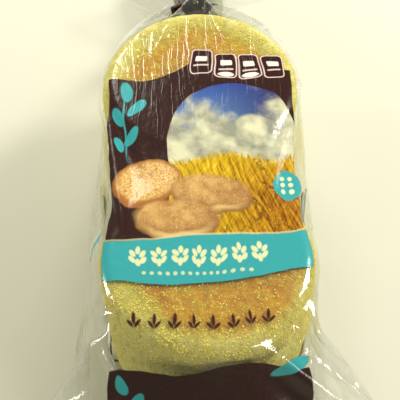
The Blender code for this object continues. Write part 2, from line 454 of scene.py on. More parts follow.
def refine(film):
    """Twice as many columns and rows, by cubic interpolation."""
    halfway = halfway_between(film, np.roll(film, -1, 1), np.roll(film, 1, 1), np.roll(film, -2, 1))
    wide = np.empty((3, 2 * film.shape[1], film.shape[2]), film.dtype)
    wide[:, 0::2] = film
    wide[:, 1::2] = halfway
    long = np.empty((3, wide.shape[1], 2 * wide.shape[2] - 1), film.dtype)
    long[:, :, 0::2] = wide
    middle = 0.5 * (wide[:, :, :-1] + wide[:, :, 1:])
    middle[:, :, 1:-1] = halfway_between(
        wide[:, :, 1:-2], wide[:, :, 2:-1], wide[:, :, :-3], wide[:, :, 3:],
    )
    long[:, :, 1::2] = middle
    return long


def simulate_film(muffins):
    """The film at rest over the stacks."""
    first, *finer = GRIDS
    film = settle(start_shape(*FIRST_GRID), muffins, **first)
    for nudge, grid in zip(NUDGES, finer):
        film = refine(film)
        film += FILM_RANDOM.normal(0, nudge, film.shape).astype(np.float32)
        if not (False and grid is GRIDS[-1]):
            film = settle(film, muffins, **grid)
    return film.astype(float)


# ---- meshes

def add_object(name, data):
    """An object of a mesh, a light or a camera, in the scene."""
    thing = bpy.data.objects.new(name, data)
    bpy.context.scene.collection.objects.link(thing)
    return thing


def add_piece(name, points, faces, material, smooth=True):
    """A mesh object from points in millimetres in the bag's frame, riding on the root body."""
    mesh = bpy.data.meshes.new(name)
    placed = (np.asarray(points) + (0, SHIFT_Y, 0)) * MM
    faces = np.asarray(faces)
    mesh.vertices.add(len(placed))
    mesh.vertices.foreach_set("co", placed.ravel())
    size = faces.shape[1]
    mesh.loops.add(faces.size)
    mesh.loops.foreach_set("vertex_index", faces.ravel().astype(np.int32))
    mesh.polygons.add(len(faces))
    mesh.polygons.foreach_set("loop_start", np.arange(0, faces.size, size, dtype=np.int32))
    mesh.update(calc_edges=True)
    mesh.validate()
    mesh.materials.append(material)
    if smooth:
        mesh.shade_smooth()
    piece = add_object(name, mesh)
    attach(piece, "root")
    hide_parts("bag")
    return piece


def make_film(film, material):
    """The film's mesh. Its UV map is its flat shape: the shares of the way round and along."""
    columns, rows = film.shape[1:]
    points = np.moveaxis(film, 0, -1).reshape(-1, 3)
    index = np.arange(columns * rows).reshape(columns, rows)
    _, partner = closed_line(columns)
    index[:, 0] = np.minimum(index[:, 0], index[partner, 0])
    after = np.roll(index, -1, 0)
    faces = np.stack([index[:, :-1], index[:, 1:], after[:, 1:], after[:, :-1]], -1).reshape(-1, 4)
    piece = add_piece("bag_film", points, faces, material)
    column, row = np.meshgrid(np.arange(columns), np.arange(rows - 1), indexing="ij")
    us = np.stack([column, column, column + 1, column + 1], -1) / columns
    vs = np.stack([row, row + 1, row + 1, row], -1) / (rows - 1)
    layer = piece.data.uv_layers.new(name="flat")
    flat = np.stack([1 - us, vs], -1).reshape(-1, 2)
    layer.data.foreach_set("uv", flat.ravel())


def muffin_profile(top_step, bottom_step):
    """Radius and height of the rings from a muffin's top centre to its bottom centre."""
    half = MUFFIN_HEIGHT / 2
    flat = MUFFIN_RADIUS - MUFFIN_EDGE
    straight = half - MUFFIN_EDGE
    turns = [math.pi / 2 * k / EDGE_RINGS for k in range(EDGE_RINGS + 1)]
    count = math.ceil(flat / top_step)
    rings = [(flat * k / count, half) for k in range(count)]
    for turn in turns:
        rings.append((flat + MUFFIN_EDGE * math.sin(turn), half - MUFFIN_EDGE * (1 - math.cos(turn))))
    for k in range(1, SIDE_RINGS):
        rings.append((MUFFIN_RADIUS, straight - 2 * straight * k / SIDE_RINGS))
    for turn in turns:
        rings.append((flat + MUFFIN_EDGE * math.cos(turn), -straight - MUFFIN_EDGE * math.sin(turn)))
    count = math.ceil(flat / bottom_step)
    rings += [(flat * k / count, -half) for k in range(count - 1, -1, -1)]
    return rings


def wobble(points, scale, seed):
    """Smooth noise between about -1 and 1 at each point, with features of about scale millimetres."""
    offset = np.array([13.7, 71.3, 29.1]) * seed
    return np.array([noise.noise(Vector(point)) for point in points / scale + offset])


def muffin_mesh(rings):
    """A round muffin's points, ring by ring between two centres, and its triangles."""
    turn = 2 * math.pi * np.arange(SPOKES) / SPOKES
    points = [(0, 0, rings[0][1])]
    for radius, height in rings[1:-1]:
        points += list(zip(radius * np.cos(turn), radius * np.sin(turn), np.full(SPOKES, height)))
    points.append((0, 0, rings[-1][1]))
    index = np.arange(SPOKES)
    after = (index + 1) % SPOKES
    squares = []
    for ring in range(len(rings) - 3):
        near = 1 + ring * SPOKES
        far = near + SPOKES
        squares += list(zip(near + index, far + index, far + after, near + after))
    squares = np.array(squares)
    last = len(points) - 1
    bottom = last - SPOKES
    fans = [(0, 1 + i, 1 + a) for i, a in zip(index, after)]
    fans += [(last, bottom + a, bottom + i) for i, a in zip(index, after)]
    triangles = np.concatenate([squares[:, [0, 1, 2]], squares[:, [0, 2, 3]], np.array(fans)])
    return np.array(points, float), triangles


def uneven_muffin(points, rimness, muffin, seed):
    """A round muffin's points made uneven all over: lumps, dents, pits and a hollow round its side."""
    radial = np.hypot(points[:, 0], points[:, 1])
    out = np.stack([points[:, 0], points[:, 1]], -1) / np.maximum(radial, 1e-6)[:, None]
    size = muffin["radius"] / MUFFIN_RADIUS
    lumps = wobble(points * (1, 1, 0.4), 26, seed)
    dents = wobble(points, 7, seed + 20)
    fine = wobble(points, 2.2, seed + 40)
    pits = np.clip(wobble(points, 3.4, seed + 60) - 0.18, 0, 1)
    belt = np.exp(-((points[:, 2] + 1.5 + 1.2 * wobble(points * (1, 1, 0), 30, seed + 80)) / 2.2) ** 2)
    sideways = -0.9 + 0.75 * lumps + 0.22 * dents + 0.06 * fine - 0.9 * pits - 0.5 * belt
    sideways = np.minimum(sideways * rimness, 0.1)
    flat_fall = -0.35 - 0.5 * np.clip(lumps, -1, 1) * 0.6 - 0.14 * dents - 0.07 * fine
    flat_fall -= 0.5 * np.clip(wobble(points, 5, seed + 50) - 0.25, 0, 1)
    flat_fall = np.minimum(flat_fall, 0.0)
    facing = np.clip(np.abs(points[:, 2]) / (MUFFIN_HEIGHT / 2), 0, 1) ** 3 * np.sign(points[:, 2])
    shaped = points.copy()
    shaped[:, :2] = out * (radial * size + sideways)[:, None]
    shaped[:, 2] += flat_fall * facing
    return shaped + (muffin["x"], muffin["y"], muffin["z"])


def make_muffin(number, muffin, material):
    """One muffin: flat griddled faces and a rounded edge, with its toasting and flour as attributes."""
    top_step = SHOWN_STEP if muffin["shown"] else HIDDEN_STEP
    points, triangles = muffin_mesh(muffin_profile(top_step, BOTTOM_STEP))
    seed = 1 + number
    from_centre = np.hypot(points[:, 0], points[:, 1])
    rimness = np.clip((from_centre - (MUFFIN_RADIUS - MUFFIN_EDGE - 8)) / 12, 0, 1)
    shaped = uneven_muffin(points, rimness, muffin, seed)
    piece = add_piece(f"muffin_{number + 1}", shaped, triangles, material)
    toast = toasting(points, muffin, seed)
    # The flour share is partly painted shade: the near stack's rims get less pale than the far stack's.
    for name, values in (("toast", toast), ("flour_and_shade", rimness * muffin["flour_and_shade"])):
        layer = piece.data.attributes.new(name, "FLOAT", "POINT")
        layer.data.foreach_set("value", values.astype(np.float32))
    return shaped, triangles, toast


def toasting(points, muffin, seed):
    """How toasted each point is, 0 to 1: only the flat faces are, in an uneven round patch."""
    centre = muffin["toast_centre"]
    away = np.hypot(points[:, 0] - centre[0], points[:, 1] - centre[1])
    edge = muffin["toast_radius"] + 5.0 * wobble(points * (1, 1, 0), 20, seed + 90)
    edge += 2.2 * wobble(points * (1, 1, 0), 7, seed + 91)
    toast = np.clip((edge - away) / 9 + 0.5, 0, 1)
    flatness = np.clip((np.abs(points[:, 2]) - MUFFIN_HEIGHT / 2 + 3.5) / 3, 0, 1)
    return toast * toast * (3 - 2 * toast) * flatness


# ---- materials

class Nodes:
    """Short ways to add nodes to one material."""

    def __init__(self, name):
        self.material = bpy.data.materials.new(name)
        self.material.use_nodes = True
        self.tree = self.material.node_tree
        self.tree.nodes.clear()
        self.output = self.tree.nodes.new("ShaderNodeOutputMaterial")

    def link(self, value, socket):
        """Links a socket to an input, or sets the input to a plain value."""
        if isinstance(value, bpy.types.NodeSocket):
            self.tree.links.new(value, socket)
        else:
            socket.default_value = value

    def add(self, kind, inputs=None, **settings):
        """A node with its settings and inputs."""
        node = self.tree.nodes.new("ShaderNode" + kind)
        for key, value in settings.items():
            setattr(node, key, value)
        for key, value in (inputs or {}).items():
            self.link(value, node.inputs[key])
        return node

    def maths(self, operation, *values, clamp=False):
        """A maths node's output."""
        inputs = dict(enumerate(values))
        return self.add("Math", inputs, operation=operation, use_clamp=clamp).outputs[0]

    # The sums that are used most. scaled is value x factor + offset.
    times = partialmethod(maths, "MULTIPLY")
    plus = partialmethod(maths, "ADD")
    minus = partialmethod(maths, "SUBTRACT")
    scaled = partialmethod(maths, "MULTIPLY_ADD")

    def vector(self, operation, *values):
        """A vector maths node's output, a number for a length and a vector otherwise."""
        node = self.add("VectorMath", dict(enumerate(values)), operation=operation)
        return node.outputs["Value" if operation == "LENGTH" else "Vector"]

    def placed(self, place, scale, turn=0.0, centre=(0, 0)):
        """A shape's own coordinates: measured from its centre, turned by degrees and scaled."""
        return self.add("Mapping", {
            "Vector": place,
            "Location": (*centre, 0),
            "Rotation": (0, 0, math.radians(turn)),
            "Scale": (*scale, 1),
        }, vector_type="TEXTURE").outputs[0]

    def ramp(self, value, low, high, smooth=False):
        """0 below low and 1 above high, or the other way round."""
        node = self.add("MapRange", {"Value": value, "From Min": low, "From Max": high}, clamp=True)
        if smooth:
            node.interpolation_type = "SMOOTHSTEP"
        return node.outputs["Result"]

    def mix(self, share, first, second):
        """Two colours mixed by a share from 0 to 1. The node's third output is the colour."""
        inputs = {"Factor": share, "A": first, "B": second}
        return self.add("Mix", inputs, data_type="RGBA").outputs[2]

    def noise(self, place, scale, detail=2.0, rough=0.5, distortion=0.0):
        """Noise from 0 to 1."""
        return self.add("TexNoise", {
            "Vector": place, "Scale": scale, "Detail": detail, "Roughness": rough,
            "Distortion": distortion,
        }).outputs["Fac"]

    def cells(self, place, scale, randomness):
        """Cells: the distance from their middles, and a random colour for each."""
        node = self.add("TexVoronoi", {"Vector": place, "Scale": scale, "Randomness": randomness})
        return node.outputs["Distance"], node.outputs["Color"]

    def red(self, colour):
        """A colour's red, a random number for each cell."""
        return self.add("SeparateColor", {"Color": colour}).outputs["Red"]

    def bump(self, strength, distance, height):
        """Normals for a relief, its distance in metres."""
        values = {"Strength": strength, "Distance": distance, "Height": height}
        return self.add("Bump", values).outputs["Normal"]

    def colours(self, value, stops, colours):
        """A colour ramp with a colour at each stop."""
        node = self.add("ValToRGB", {"Fac": value})
        elements = node.color_ramp.elements
        while len(elements) < len(stops):
            elements.new(0.5)
        for element, stop, colour in zip(elements, stops, colours):
            element.position = stop
            element.color = colour
        return node.outputs["Color"]

    def principled(self, colour, roughness, **inputs):
        """The shader of all that isn't film."""
        inputs = {"Base Color": colour, "Roughness": roughness, **inputs}
        return self.add("BsdfPrincipled", inputs).outputs[0]

    def either(self, share, first, second):
        """Two shaders mixed by a share from 0 to 1."""
        return self.add("MixShader", {"Fac": share, 1: first, 2: second}).outputs[0]

    def finished(self, shader):
        """The material with this shader on its surface."""
        self.link(shader, self.output.inputs["Surface"])
        return self.material


def crust_material():
    """Griddled bread: pale dusty rim and sides, toasted faces mottled from gold to brown."""
    n = Nodes("muffin_crust")
    place = n.add("TexCoord").outputs["Object"]
    toast = n.add("Attribute", attribute_name="toast").outputs["Fac"]
    broad = n.noise(place, 45, 3, 0.55)
    mottle = n.noise(place, 210, 4, 0.6)
    grain = n.noise(place, 1500, 3, 0.7)
    dust = n.noise(place, 620, 2, 0.6)
    flour_and_shade = n.add("Attribute", attribute_name="flour_and_shade").outputs["Fac"]
    light = n.ramp(broad, 0.35, 0.65)
    pale = n.mix(flour_and_shade, n.mix(light, PALE, CREAM), n.mix(light, FLOURY, FLOURY_CREAM))
    pale = n.mix(n.ramp(mottle, 0.55, 0.75), pale, PALE_SPOTS)
    level = n.plus(n.times(n.minus(mottle, 0.5), 0.9), broad)
    browned = n.colours(level, (0.22, 0.5, 0.86), (GOLD, TOASTED, DARK_TOAST))
    depth = n.plus(toast, n.times(n.minus(mottle, 0.5), 0.55), clamp=True)
    depth = n.times(depth, n.ramp(toast, 0.0, 0.25))
    patches = n.ramp(n.noise(place, 75, 3, 0.6), 0.64, 0.50)
    depth = n.times(depth, n.scaled(patches, 0.4, 0.6))
    colour = n.mix(n.times(depth, 0.92), pale, browned)
    distance, cell = n.cells(place, 1350.0, 1.0)
    shade = n.red(cell)
    bright = n.times(n.ramp(shade, 0.55, 0.95), n.ramp(distance, 0.55, 0.25))
    dull = n.times(n.ramp(shade, 0.35, 0.05), n.ramp(dust, 0.35, 0.6))
    bright = n.times(bright, n.scaled(depth, -0.30, 0.60))
    colour = n.mix(bright, colour, srgb(226, 206, 96))
    colour = n.mix(n.times(dull, 0.20), colour, srgb(124, 86, 18))
    # Painted shade: the crust is darker brown in the pits of the fine grain relief.
    colour = n.mix(n.times(n.ramp(grain, 0.38, 0.22), 0.25), colour, srgb(118, 82, 24))
    lumps = n.noise(place, 520, 2, 0.5)
    # Painted shade and highlight: the hollows between the lumps that the relief raises are darker, and
    # the lumps' raised tops are lighter.
    colour = n.mix(n.times(n.ramp(lumps, 0.46, 0.30), 0.36), colour, srgb(132, 104, 28))
    colour = n.mix(n.times(n.ramp(lumps, 0.54, 0.70), 0.35), colour, srgb(216, 200, 90))
    dome = n.times(n.ramp(distance, 0.7, 0.1), shade)
    relief = n.plus(n.times(grain, 0.4), n.times(mottle, 0.8))
    relief = n.plus(relief, n.times(dome, 0.6))
    relief = n.plus(relief, n.times(lumps, 1.3))
    return n.finished(n.principled(colour, 0.82, Normal=n.bump(0.8, 0.0006, relief), **{
        "Subsurface Weight": 0.12, "Subsurface Scale": 0.003, "Subsurface Radius": (1.0, 0.6, 0.25),
    }))


def grain_material():
    """Cornmeal: small bright yellow grains with a slight shine."""
    n = Nodes("cornmeal")
    place = n.add("TexCoord").outputs["Object"]
    shade = n.noise(place, 900, 1)
    colour = n.colours(shade, (0.3, 0.46, 0.62), CORNMEAL)
    return n.finished(n.principled(colour, 0.4))


def clip_material():
    """Pale stamped plastic with a faint mottle."""
    n = Nodes("clip_plastic")
    place = n.add("TexCoord").outputs["Object"]
    cloud = n.noise(place, 300, 3)
    colour = n.mix(cloud, srgb(222, 226, 220), srgb(236, 238, 232))
    bump = n.bump(0.15, 0.0002, n.noise(place, 1800, 2))
    return n.finished(n.principled(colour, 0.38, Normal=bump))


class Print(Nodes):
    """The film's nodes with its print, in the film's flat coordinates in millimetres: x is across from
    the front's middle, and y along from between the stacks. Each shape covers those before it."""

    def __init__(self, middle):
        super().__init__("printed_film")
        flat = self.add("UVMap", uv_map="flat").outputs["UV"]
        self.place = self.add("Mapping", {
            "Vector": flat,
            "Location": (-FLAT_WIDTH, -middle, 0),
            "Scale": (2 * FLAT_WIDTH, FILM_LENGTH, 1),
        }).outputs["Vector"]
        self.place = self.warped(0.035, 7.0)
        split = self.add("SeparateXYZ", {"Vector": self.place})
        self.x = split.outputs["X"]
        self.y = split.outputs["Y"]
        self.colour = BROWN
        self.cover = 0.0

    def warped(self, scale, reach):
        """The place, pushed about by smooth noise with the given scale and reach in millimetres."""
        cloud = self.add("TexNoise", {"Vector": self.place, "Scale": scale, "Detail": 2.0})
        offset = self.vector("SUBTRACT", cloud.outputs["Color"], (0.5, 0.5, 0.5))
        push = self.vector("MULTIPLY", offset, (reach, reach, 0))
        return self.vector("ADD", self.place, push)

    def stretched(self, turn, across, along):
        """The place turned by an angle, then scaled across and along, for streaks that lie aslant."""
        return self.placed(self.place, (1 / across, 1 / along), turn)

    def oval_distance(self, centre, radii, turn=0.0, place=None):
        """0 at an oval's centre and 1 on its edge."""
        return self.vector("LENGTH", self.placed(place or self.place, radii, turn, centre))

    def oval(self, centre, radii, turn=0.0, place=None, soft=PRINT_SOFT):
        """An oval's mask."""
        edge = soft / min(radii) / 2
        return self.ramp(self.oval_distance(centre, radii, turn, place), 1 + edge, 1 - edge)

    def box(self, centre, half, corner=0.5):
        """The mask of a box with round corners, by how far each point lies outside it."""
        offset = self.vector("ABSOLUTE", self.vector("SUBTRACT", self.place, (*centre, 0)))
        past = self.vector("SUBTRACT", offset, (half[0] - corner, half[1] - corner, 1))
        out = self.vector("MAXIMUM", past, (0, 0, 0))
        distance = self.minus(self.vector("LENGTH", out), corner)
        return self.ramp(distance, PRINT_SOFT / 2, -PRINT_SOFT / 2)

    def below(self, line, soft=PRINT_SOFT):
        """A mask of what lies nearer the closed end than a line."""
        return self.ramp(self.minus(self.y, line), soft / 2, -soft / 2)

    def beyond(self, line):
        """A mask of what lies nearer the neck than a line."""
        return self.minus(1.0, self.below(line))

    def both(self, *masks):
        """Where all the masks are."""
        out = masks[0]
        for mask in masks[1:]:
            out = self.times(out, mask)
        return out

    def wave(self, level, size, length, offset=0.0, slope=0.0, bow=0.0):
        """A wavy line's y at each x."""
        turn = self.scaled(self.x, 2 * math.pi / length, offset)
        line = self.scaled(self.maths("SINE", turn), size, level)
        line = self.scaled(self.x, slope, line)
        return self.scaled(self.times(self.x, self.x), bow, line)

    def ink(self, mask, colour, strength=1.0):
        """Prints a colour where the mask is."""
        if strength != 1.0:
            mask = self.times(mask, strength)
        self.colour = self.mix(mask, self.colour, colour)
        self.cover = self.maths("MAXIMUM", self.cover, mask)

    def leaves(self, shapes, colour):
        """Prints a leaf for each x, y, radii and turn."""
        for x, y, radii, turn in shapes:
            self.ink(self.oval((x, y), radii, turn), colour)

    def repeated(self, origin, pitch):
        """Coordinates that start again at every pitch across, for a row of like shapes."""
        cell = self.maths("FRACT", self.times(self.minus(self.x, origin[0]), 1 / pitch))
        across = self.times(self.minus(cell, 0.5), pitch)
        along = self.minus(self.y, origin[1])
        return self.add("CombineXYZ", {"X": across, "Y": along}).outputs[0]


def print_front(p):
    """The front's print: a dark field with an arched picture, a wide band, and small motifs."""
    field = p.box((0, 8), (PANEL_HALF, 46), 2.0)
    edge = p.wave(52.5, 4.0, 58, 0.9, 0.10, -0.003)
    p.ink(p.both(field, p.below(edge)), BROWN)
    print_tiles(p)
    print_leaves(p)
    print_window(p)
    print_breads(p)
    print_badge(p)
    print_band(p)
    print_marks(p)


def print_tiles(p):
    """Four dark tiles with pale outlines and little bars."""
    for k, (x, y) in enumerate(((1.5, 55.0), (12.0, 52.5), (22.5, 51.5), (33.0, 50.5))):
        p.ink(p.box((x, y), (4.9, 7.0), 2.2), srgb(222, 196, 190))
        p.ink(p.box((x, y), (4.4, 6.5), 1.8), BROWN)
        p.ink(p.box((x, y + 1.6), (2.6, 1.5), 0.6), srgb(230, 214, 208))
        p.ink(p.box((x, y - 2.2), (3.2, 0.45), 0.3), srgb(206, 180, 176))
        if k in (1, 2):
            p.ink(p.oval((x, y - 5.0), (3.4, 1.3)), srgb(232, 220, 212))


def print_leaves(p):
    """A sprig of broad leaves in the upper left corner."""
    p.ink(p.oval((-33.2, 20.0), (0.5, 15.0), 4), CYAN)
    p.leaves((
        (-33.5, 37.0, (2.6, 5.6), 12), (-28.0, 28.5, (2.5, 5.4), -38), (-36.2, 25.0, (2.2, 5.0), 26),
        (-30.0, 14.5, (2.4, 5.2), -34), (-36.0, 11.0, (2.0, 4.2), 22),
    ), CYAN)


def print_sky(p, window):
    """A sky with clouds, in an arched window."""
    height = p.ramp(p.y, 5, 42)
    blue = p.mix(height, srgb(104, 140, 172), srgb(44, 72, 146))
    blue = p.mix(p.ramp(p.x, 6, 34), blue, srgb(40, 38, 96))
    cloud = p.noise(p.place, 0.055, 4, 0.5, 0.4)
    low = p.scaled(p.minus(1.0, height), 0.42, cloud)
    bank = p.times(p.ramp(p.oval_distance((23, 15), (15, 11)), 1.5, 0.5), 0.9)
    low = p.maths("MAXIMUM", low, bank)
    uneven = p.ramp(p.noise(p.place, 0.09, 3), 0.38, 0.62)
    shade = p.mix(uneven, srgb(140, 140, 124), srgb(206, 204, 172))
    p.ink(window, p.mix(p.ramp(low, 0.58, 0.76, True), blue, shade))


def print_wheat(p, window):
    """A field of ripe wheat in the window's lower part: stalks both ways, and three layers of ears."""
    stalks = p.noise(p.stretched(20, 0.75, 0.09), 1.0, 3, 0.6, 0.3)
    others = p.noise(p.stretched(-28, 0.95, 0.13), 1.0, 3, 0.6, 0.2)
    both_ways = p.plus(p.times(stalks, 0.7), p.times(others, 0.3))
    across = p.times(p.ramp(p.x, -14, 34, True), p.ramp(p.y, 8, -16))
    yellow = p.colours(both_ways, WHEAT_STOPS, WHEAT)
    orange = p.colours(both_ways, WHEAT_STOPS, RIPE_WHEAT)
    wheat = p.mix(across, yellow, orange)
    for turn, size, depth in ((34, 0.30, 0.85), (-18, 0.36, 0.7), (52, 0.27, 0.8)):
        from_ear, ears = p.cells(p.stretched(turn, size, size * 0.24), 1.0, 0.9)
        picked = p.red(ears)
        from_husk, _ = p.cells(p.stretched(turn, 0.9, 0.55), 1.0, 0.7)
        lit = p.mix(across, srgb(230, 200, 62), srgb(208, 154, 44))
        shaded = p.mix(across, srgb(120, 90, 12), srgb(86, 44, 10))
        ear = p.mix(p.ramp(from_husk, 0.18, 0.62), lit, shaded)
        body = p.ramp(from_ear, 0.42, 0.26, True)
        shown = p.times(p.maths("GREATER_THAN", picked, 0.6), body)
        wheat = p.mix(p.times(shown, depth), wheat, ear)
    ragged = p.minus(p.noise(p.stretched(12, 1.6, 0.25), 1.0, 2), 0.5)
    edge = p.scaled(ragged, 14, p.wave(2.0, 1.6, 46, 0.4))
    p.ink(p.both(window, p.below(edge, 1.2)), wheat)


def print_window(p):
    """An arched picture of a sky over a field of ripe wheat."""
    arch = p.maths("MAXIMUM", p.oval((13.5, 12), (28, 30)), p.box((13.5, -12), (28, 25), 1.0))
    window = p.both(arch, p.box((0, 0), (PANEL_HALF, 60), 0.5))
    print_sky(p, window)
    print_wheat(p, window)


def print_breads(p):
    """Plain round breads: a split one showing its crumb, and two with pale sides and toasted tops."""
    speck = p.noise(p.place, 1.1, 3, 0.6)
    cloud = p.noise(p.place, 0.16, 3, 0.55)
    holes = p.noise(p.place, 0.42, 2, 0.5)
    rough = p.warped(0.11, 4.5)

    centre, radii, turn = (-24.5, -9.0), (15.0, 10.8), 10
    p.ink(p.oval((centre[0] - 0.8, centre[1] - 1.8), radii, turn, rough, soft=0.7), srgb(150, 92, 44))
    distance = p.oval_distance(centre, radii, turn, rough)
    crumb = p.mix(p.ramp(speck, 0.40, 0.58), srgb(222, 188, 120), srgb(184, 138, 76))
    crumb = p.mix(p.times(p.ramp(holes, 0.54, 0.68), 0.6), crumb, srgb(142, 96, 50))
    split = p.mix(p.ramp(distance, 0.80, 0.95), crumb, srgb(158, 106, 50))
    p.ink(p.oval(centre, radii, turn, rough, soft=0.7), split)

    for centre, radii, turn in (((3.5, -15.0), (17.0, 7.8), -10), ((-11.5, -26.5), (17.5, 7.4), -2)):
        side = (centre[0], centre[1] - 3.4)
        edge = p.oval_distance(side, radii, turn, rough)
        pale = p.mix(p.ramp(edge, 0.5, 1.0, True), srgb(224, 194, 128), srgb(134, 92, 48))
        p.ink(p.oval(side, radii, turn, rough, soft=0.7), pale)
        lit = (centre[0] - 0.15 * radii[0], centre[1] + 0.3 * radii[1])
        distance = p.oval_distance(lit, (1.2 * radii[0], 1.3 * radii[1]), turn, rough)
        toasted = p.mix(p.ramp(cloud, 0.36, 0.64), srgb(198, 158, 96), srgb(164, 116, 62))
        top = p.mix(p.times(p.ramp(distance, 0.35, 1.05, True), 0.6), toasted, srgb(132, 88, 48))
        top = p.mix(p.times(p.ramp(speck, 0.54, 0.68), 0.4), top, srgb(232, 204, 150))
        p.ink(p.oval(centre, radii, turn, rough, soft=1.6), top)


def print_badge(p):
    """A round badge at the right edge with six pips."""
    x, y = 36.5, -13.0
    p.ink(p.oval((x, y), (6.4, 7.4)), CYAN)
    for row in (-1, 0, 1):
        for side in (-1, 1):
            p.ink(p.oval((x + 2.0 * side, y + 3.3 * row), (1.15, 1.15)), CREAM_INK)


def print_band(p):
    """The wide band with a pale line along its top, and a row of grain sprigs and one of dots on it."""
    top = p.wave(-35.5, 1.1, 62, 2.2, 0.02)
    bottom = p.wave(-56.8, 0.0, 60, 0.0, 0.05, 0.0016)
    band = p.both(p.box((0, -46), (PANEL_HALF + 1.0, 16), 0.6), p.below(top), p.beyond(bottom))
    p.ink(p.both(band, p.beyond(p.wave(-36.7, 1.1, 62, 2.2, 0.02))), CREAM_INK, 0.5)
    p.ink(p.both(band, p.below(p.wave(-36.4, 1.1, 62, 2.2, 0.02))), CYAN)
    ears = p.repeated((-31.5, -44.6), 8.0)
    limit = p.box((-3.5, -44.6), (27.9, 6), 0.2)
    grains = [(0, 2.6, 0), (0, -2.9, 0)]
    grains += [(side * 1.9, y, -side * 32) for side in (-1, 1) for y in (1.1, -1.7)]
    for x, y, turn in grains:
        p.ink(p.both(limit, p.oval((x, y), (0.95, 1.75), turn, ears)), CREAM_INK)
    dots = p.repeated((-27.0, -52.3), 3.0)
    limit = p.box((-4.5, -52.3), (22.4, 2), 0.2)
    p.ink(p.both(limit, p.oval((0, 0), (0.8, 0.8), 0, dots)), CREAM_INK, 0.8)


def print_marks(p):
    """A row of small sprigs, each of three slim leaves, between the band and the closed end."""
    leaves = p.repeated((-33.0, -73.5), 7.5)
    limit = p.box((-3.0, -73.5), (30.0, 5), 0.2)
    sprig = ((0.0, 1.0, (0.7, 2.3), 0), (-1.35, -0.9, (0.6, 1.7), 42), (1.35, -0.9, (0.6, 1.7), -42))
    for x, y, radii, turn in sprig:
        p.ink(p.both(limit, p.oval((x, y), radii, turn, leaves)), SPRIG_INK)


def print_ends_and_back(p):
    """Dark print over the closed end and at the mouth, side stripes and a plain panel on the back."""
    reach = p.box((-1, -115), (PANEL_HALF - 1, 40), 1.0)
    p.ink(p.both(reach, p.below(p.wave(-92.5, 1.8, 47, 0.2, 0.02))), BROWN)
    p.leaves((
        (-35.0, -98.0, (2.2, 4.6), 20), (-30.0, -107.0, (2.4, 5.6), -28), (31.5, -93.0, (9.5, 2.2), 22),
    ), CYAN)
    p.ink(p.both(p.box((-4, 190), (PANEL_HALF, 66), 1.0), p.beyond(p.wave(118, 3, 40))), BROWN)
    for side in (-1, 1):
        p.ink(p.box((side * 61.0, -22), (2.6, 17), 1.4), CYAN)
        p.ink(p.box((side * 66.5, -22), (0.9, 17), 0.6), CREAM_INK)
    panels = (((26, 60), 1.2, BACK_INK), ((24, 57), 1.0, RULE_INK), ((23, 56), 1.0, BACK_INK))
    for side in (-1, 1):
        for half, corner, colour in panels:
            p.ink(p.box((side * 145, -4), half, corner), colour)
    lines = p.maths("FRACT", p.times(p.y, 1 / 7))
    rule = p.ramp(p.maths("ABSOLUTE", p.minus(lines, 0.5)), 0.07, 0.04)
    for side in (-1, 1):
        p.ink(p.both(rule, p.box((side * 145, -4), (19, 50), 0.5)), RULE_INK, 0.8)


def film_relief(p):
    """The film's relief as normals, and the slanting creases at its sides, 0 to 1."""
    crinkle = p.add("Mapping", {"Vector": p.place, "Scale": (1.0, 0.22, 1)})
    streaks = p.noise(crinkle.outputs[0], 0.45, 3, 0.6, 0.6)
    broad = p.noise(p.place, 0.16, 3, 0.55, 0.8)
    drawn = p.add("Mapping", {"Vector": p.place, "Scale": (1.0, 0.05, 1)})
    ridges = p.noise(drawn.outputs[0], 0.5, 2, 0.6, 0.2)
    from_middle = p.maths("ABSOLUTE", p.x)
    aside = p.ramp(from_middle, 42, 52)
    clear_parts = p.maths("MAXIMUM", p.ramp(p.y, -12, 52), aside)
    ridges = p.times(p.ramp(ridges, 0.52, 0.74, True), clear_parts)
    mirrored = p.add("CombineXYZ", {"X": from_middle, "Y": p.y}).outputs[0]
    slanting = p.placed(mirrored, (10, 110), 16)
    folds = p.maths("ABSOLUTE", p.minus(p.noise(slanting, 1.0, 2, 0.55, 0.5), 0.5))
    creases = p.times(p.ramp(folds, 0.06, 0.0, True), aside)
    relief = p.plus(p.times(streaks, 0.5), broad)
    relief = p.plus(relief, p.times(ridges, 1.1))
    relief = p.plus(relief, p.times(creases, 2.4))
    return p.bump(0.16, 0.0012, relief), creases


def film_material(middle):
    """Clear glossy film with its print: the print hides what is behind it, the rest only shines."""
    p = Print(middle)
    print_ends_and_back(p)
    print_front(p)
    bump, creases = film_relief(p)

    # Seen from behind, light leaves the film, so its refraction is turned over there.
    behind = p.add("NewGeometry").outputs["Backfacing"]
    bend = p.scaled(behind, 1 / FILM_IOR - FILM_IOR, FILM_IOR)
    facing = p.add("Fresnel", {"IOR": bend, "Normal": bump}).outputs["Fac"]
    shine = p.times(facing, 1.35, clamp=True)
    clear = p.add("BsdfTransparent", {"Color": (0.97, 0.975, 0.965, 1)}).outputs[0]
    milky = p.add("BsdfDiffuse", {"Color": (0.86, 0.88, 0.84, 1), "Normal": bump}).outputs[0]
    haze = p.either(p.scaled(creases, 0.12, 0.010), clear, milky)
    gloss = p.add("BsdfGlossy", {"Color": (1, 1, 1, 1), "Roughness": 0.075, "Normal": bump}).outputs[0]
    film = p.either(shine, haze, gloss)

    worn = p.noise(p.place, 1.6, 3, 0.7)
    tint = p.mix(p.times(p.ramp(worn, 0.55, 0.8), 0.06), p.colour, srgb(220, 214, 200))
    ink = p.principled(tint, 0.2, IOR=INK_IOR, Normal=bump)
    return p.finished(p.either(p.cover, film, ink))


# ---- cornmeal

